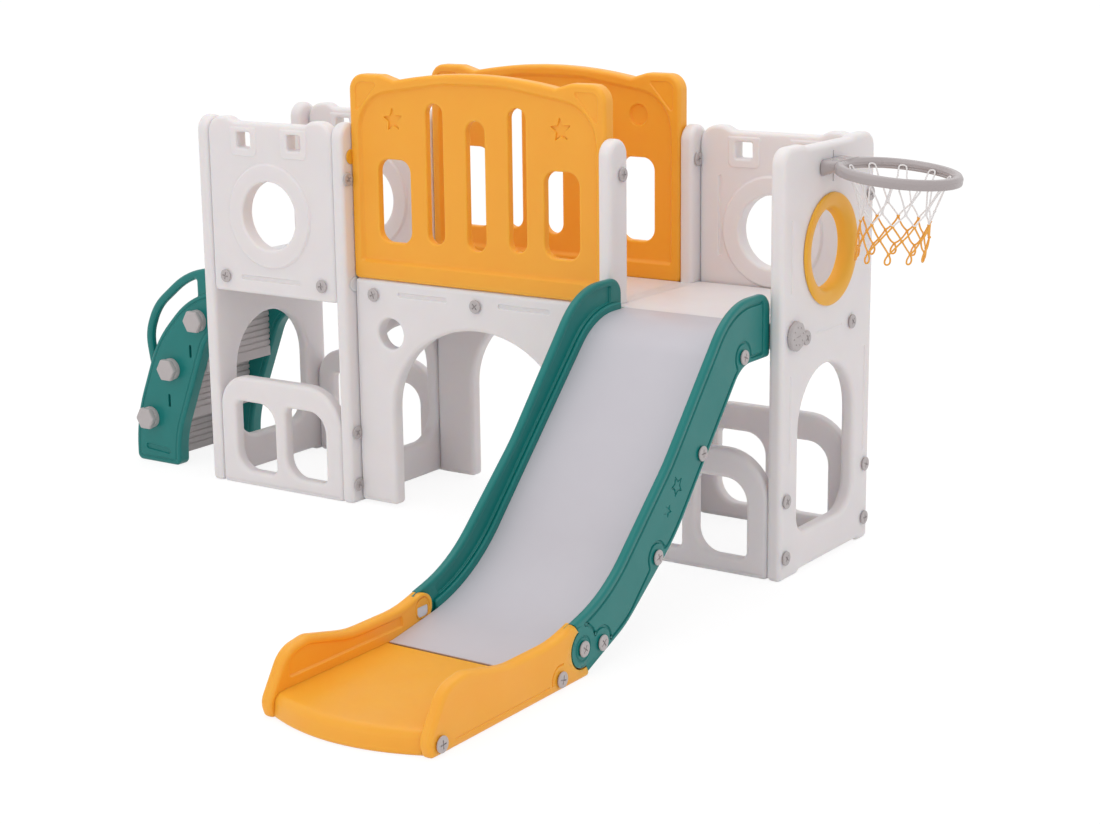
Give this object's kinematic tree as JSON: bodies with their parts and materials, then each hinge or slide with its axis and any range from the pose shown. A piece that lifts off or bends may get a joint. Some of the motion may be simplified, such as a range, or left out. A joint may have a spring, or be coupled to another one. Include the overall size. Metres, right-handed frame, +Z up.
{
  "type": "children's slide playset",
  "caption": "Indoor play set: two low towers joined by a railed bridge with an arch, a curved slide, a step ladder and a ball hoop with a net.",
  "frame": {"origin": "on the floor under the middle of the set's bounding box", "axes": "+X from the ladder to the hoop, +Y from the slide's toe to the back, +Z up"},
  "size_m": [2.6596, 1.9442, 1.247],
  "materials": {
    "white": "fine satin grain",
    "orange": "fine satin grain",
    "green": "fine satin grain",
    "pale": "smooth satin",
    "grey": "satin",
    "cord": "knotted cord, white above and orange below"
  },
  "bodies": {
    "playset": {"ladder_end_panel": "white", "bridge_panel_left": "white", "bridge_panel_right": "white", "hoop_end_panel": "white", "upper_panel_left_front": "white", "upper_panel_left_rear": "white", "upper_panel_right_rear": "white", "lower_panel_left_front": "white", "lower_panel_left_rear": "white", "lower_panel_right_front": "white", "lower_panel_right_rear": "white", "arch_panel_front": "white", "arch_panel_rear": "white", "deck_left": "white", "deck_bridge": "white", "deck_right": "white", "rail_front": "orange", "rail_rear": "orange", "exit_floor": "orange", "exit_side_left": "orange", "exit_side_right": "orange", "window_ring": "orange", "slide_side_left": "green", "slide_side_right": "green", "ladder_side_front": "green", "ladder_side_rear": "green", "slide_bed": "pale", "tread_high": "grey", "tread_middle": "grey", "tread_low": "grey", "nut_front_high": "grey", "nut_front_middle": "grey", "nut_front_low": "grey", "nut_rear_high": "grey", "nut_rear_middle": "grey", "nut_rear_low": "grey", "knob": "grey", "bolt_end_1": "grey", "bolt_end_2": "grey", "bolt_end_3": "grey", "bolt_end_4": "grey", "bolt_end_5": "grey", "bolt_end_6": "grey", "bolt_end_7": "grey", "bolt_slide_1": "grey", "bolt_slide_2": "grey", "bolt_slide_3": "grey", "bolt_slide_4": "grey", "bolt_slide_5": "grey", "bolt_slide_6": "grey", "bolt_slide_7": "grey", "bolt_arch_1": "grey", "bolt_arch_2": "grey", "bolt_arch_3": "grey", "bolt_tower_1": "grey", "bolt_tower_2": "grey"},
    "hoop": {"hoop": "grey", "net": "cord"}
  },
  "joints": [
    {"name": "hoop_pull", "type": "slide", "parent": "playset", "child": "hoop", "axis": [1, 0, 0], "range_m": [0, 0.06]}
  ]
}
